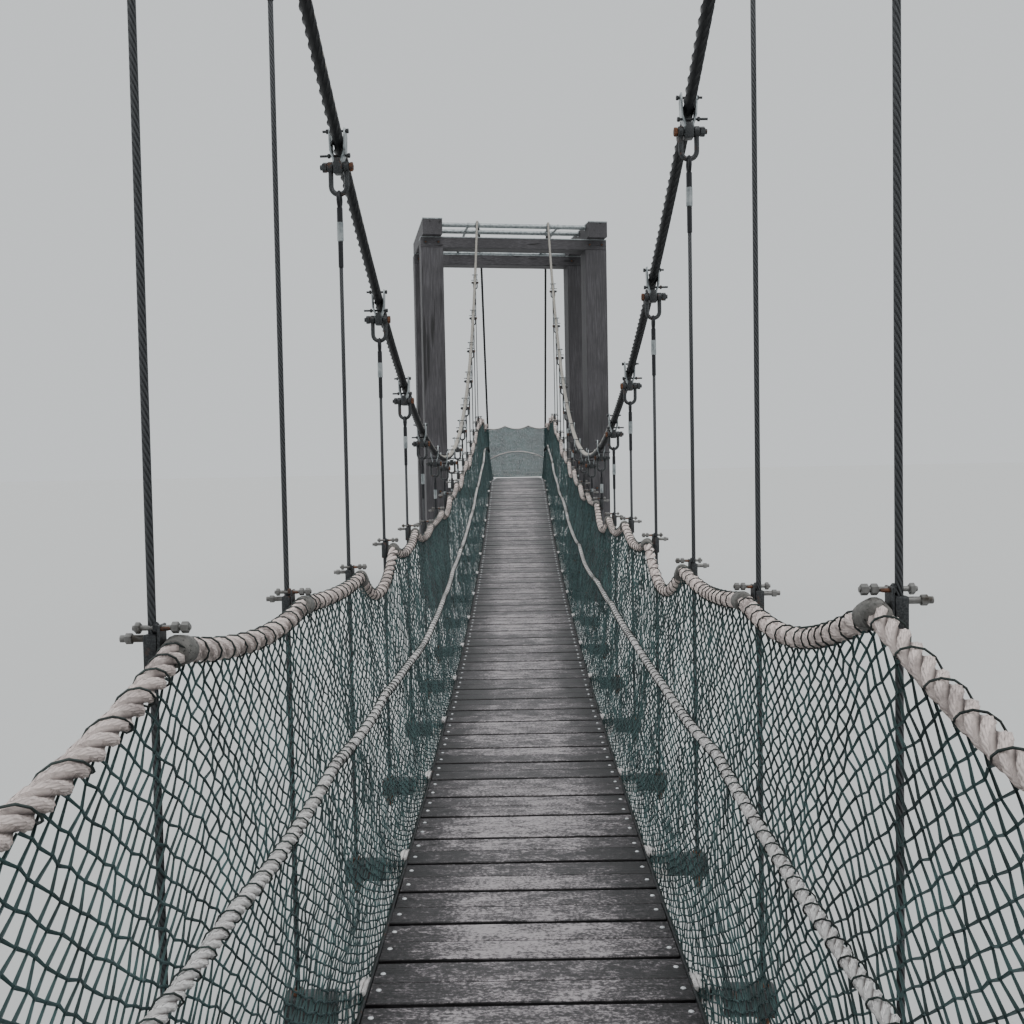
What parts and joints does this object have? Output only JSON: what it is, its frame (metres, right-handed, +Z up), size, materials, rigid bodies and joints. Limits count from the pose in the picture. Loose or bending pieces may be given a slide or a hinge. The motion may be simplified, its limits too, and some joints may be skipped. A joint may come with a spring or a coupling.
{
  "type": "rope suspension footbridge",
  "caption": "Suspension footbridge: a board deck hung by wire hangers from two main cables between timber towers, with rope and net sides.",
  "frame": {"origin": "centre of the bridge's footprint, at the level of the lowest post feet", "axes": "+Y along the walking line towards the higher landing, +X to the right of it, +Z up"},
  "size_m": [4.5308, 39, 8.0323],
  "materials": {
    "timber": "weathered, unpainted",
    "deck_boards": "weathered, worn pale along the middle",
    "dark_steel": "satin, rusty at the edges",
    "wire_rope": "greased and dark",
    "zinc_steel": "galvanised, dull",
    "natural_rope": "laid natural fibre, weathered",
    "net_twine": "knotted twine",
    "concrete": "cast, weathered"
  },
  "bodies": {
    "root": {"hanger_frame_01": "dark_steel", "hanger_frame_02": "dark_steel", "hanger_frame_03": "dark_steel", "hanger_frame_04": "dark_steel", "hanger_frame_05": "dark_steel", "hanger_frame_06": "dark_steel", "hanger_frame_07": "dark_steel", "hanger_frame_08": "dark_steel", "hanger_frame_09": "dark_steel", "hanger_frame_10": "dark_steel", "hanger_frame_11": "dark_steel", "hanger_frame_12": "dark_steel", "hanger_frame_13": "dark_steel", "hanger_frame_14": "dark_steel", "hanger_frame_15": "dark_steel", "hanger_frame_16": "dark_steel", "hanger_frame_17": "dark_steel", "deck_boards_near": "deck_boards", "deck_boards_middle": "deck_boards", "deck_boards_far": "deck_boards", "main_cable_left": "wire_rope", "hand_rope_left": "natural_rope", "mid_rope_left": "natural_rope", "edge_angle_left": "dark_steel", "side_net_left_near": "net_twine", "side_net_left_far": "net_twine", "main_cable_right": "wire_rope", "hand_rope_right": "natural_rope", "mid_rope_right": "natural_rope", "edge_angle_right": "dark_steel", "side_net_right_near": "net_twine", "side_net_right_far": "net_twine", "landing_near": "timber", "tower_near_front_frame": "timber", "tower_near_rear_frame": "timber", "tower_near_side_beam_left": "timber", "tower_near_side_beam_right": "timber", "tower_near_saddle": "zinc_steel", "anchor_block_near": "concrete", "landing_far": "timber", "tower_far_front_frame": "timber", "tower_far_rear_frame": "timber", "tower_far_side_beam_left": "timber", "tower_far_side_beam_right": "timber", "tower_far_saddle": "zinc_steel", "anchor_block_far": "concrete", "end_net_far": "net_twine"}
  },
  "joints": []
}
